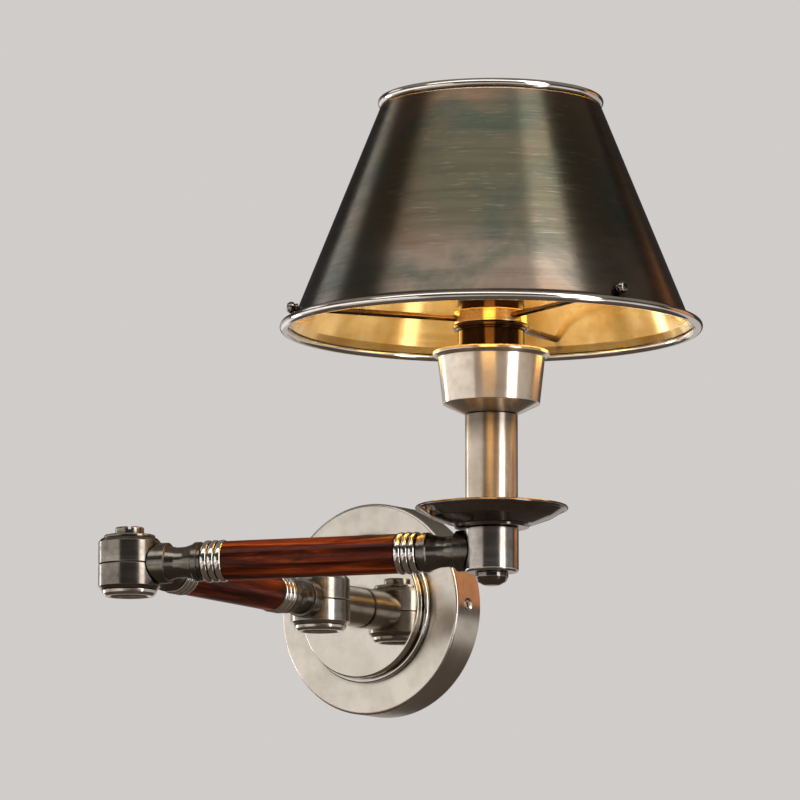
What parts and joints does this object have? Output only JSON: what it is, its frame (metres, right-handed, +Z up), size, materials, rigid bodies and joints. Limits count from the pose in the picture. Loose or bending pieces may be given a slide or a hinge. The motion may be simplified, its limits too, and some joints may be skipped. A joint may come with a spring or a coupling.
{
  "type": "swing arm wall sconce",
  "caption": "Wall sconce with jointed wood arms on friction knuckles, a round wall canopy, and a lamp head with drip pan, candle tube, socket cup and metal cone shade.",
  "frame": {"origin": "centre of the wall bracket's back, on the wall", "axes": "+Y into the wall, -Y out into the room, +Z up, +X to the right of someone facing the wall"},
  "size_m": [0.3538, 0.3068, 0.2757],
  "materials": {
    "pewter_nickel": "antique polished nickel, dark in its recesses",
    "polished_nickel": "polished warm nickel",
    "bronze_patina": "dark bronze patina outside with fine horizontal brushing, mirror polished inside",
    "rosewood": "gloss lacquered red brown wood with dark straight grain",
    "plain_steel": "plain zinc plated",
    "brass": "satin",
    "friction_fibre": "dark fibre washer",
    "flex_sleeve": "sheathed lamp wire",
    "socket_ceramic": "unglazed white",
    "bulb_glass": "warm frosted"
  },
  "bodies": {
    "wall_mount": {"wall_bracket": "plain_steel", "canopy": "pewter_nickel", "set_screw_right": "plain_steel", "set_screw_left": "plain_steel", "boss_ring": "pewter_nickel", "boss_disc": "polished_nickel", "stem": "pewter_nickel", "stem_locknut": "plain_steel", "wall_knuckle_lower": "pewter_nickel", "wall_pivot_post": "plain_steel", "wall_friction_ring": "friction_fibre", "wall_top_washer": "pewter_nickel", "wall_pivot_screw": "pewter_nickel", "wall_bottom_cap": "pewter_nickel"},
    "rear_arm": {"wall_knuckle_upper": "pewter_nickel", "rear_fitting_inner": "pewter_nickel", "rear_ferrule_inner": "polished_nickel", "rear_wood": "rosewood", "rear_ferrule_outer": "polished_nickel", "rear_fitting_outer": "pewter_nickel", "rear_core_tube": "plain_steel", "rear_flex": "flex_sleeve", "elbow_lower": "pewter_nickel", "elbow_pivot_post": "plain_steel", "elbow_friction_ring": "friction_fibre", "elbow_top_washer": "pewter_nickel", "elbow_pivot_screw": "pewter_nickel", "elbow_bottom_cap": "pewter_nickel"},
    "front_arm": {"elbow_upper": "pewter_nickel", "front_fitting_inner": "pewter_nickel", "front_ferrule_inner": "polished_nickel", "front_wood": "rosewood", "front_ferrule_outer": "polished_nickel", "front_fitting_outer": "pewter_nickel", "front_core_tube": "plain_steel", "front_flex": "flex_sleeve", "lamp_barrel": "pewter_nickel"},
    "lamp_head": {"lamp_nipple": "plain_steel", "domed_nut": "pewter_nickel", "drip_pan": "pewter_nickel", "candle_tube": "pewter_nickel", "socket_cup": "pewter_nickel", "socket_body": "socket_ceramic", "socket_shell": "brass", "screw_shell": "brass", "centre_contact": "brass", "spider_hub": "brass", "retaining_ring": "brass", "spider_rod_left": "brass", "spider_rod_front": "brass", "spider_rod_rear": "brass", "shade_screw_left": "pewter_nickel", "shade_screw_front": "pewter_nickel", "shade_screw_rear": "pewter_nickel", "shade": "bronze_patina", "shade_rim_bottom": "polished_nickel", "shade_rim_top": "polished_nickel", "bulb_base": "brass", "bulb_glass": "bulb_glass"}
  },
  "joints": [
    {"name": "wall_swing", "type": "hinge", "parent": "wall_mount", "child": "rear_arm", "pos_m": [0, -0.0663, 0], "axis": [0, 0, 1], "range_deg": [-94.6, 85.3]},
    {"name": "elbow_swing", "type": "hinge", "parent": "rear_arm", "child": "front_arm", "pos_m": [0.01508, -0.25249, 0], "axis": [0, 0, -1], "range_deg": [-0.5, 200.5]},
    {"name": "lamp_swivel", "type": "hinge", "parent": "front_arm", "child": "lamp_head", "pos_m": [0.19567, -0.20471, 0], "axis": [0, 0, 1], "range_deg": [-165, 165]}
  ]
}
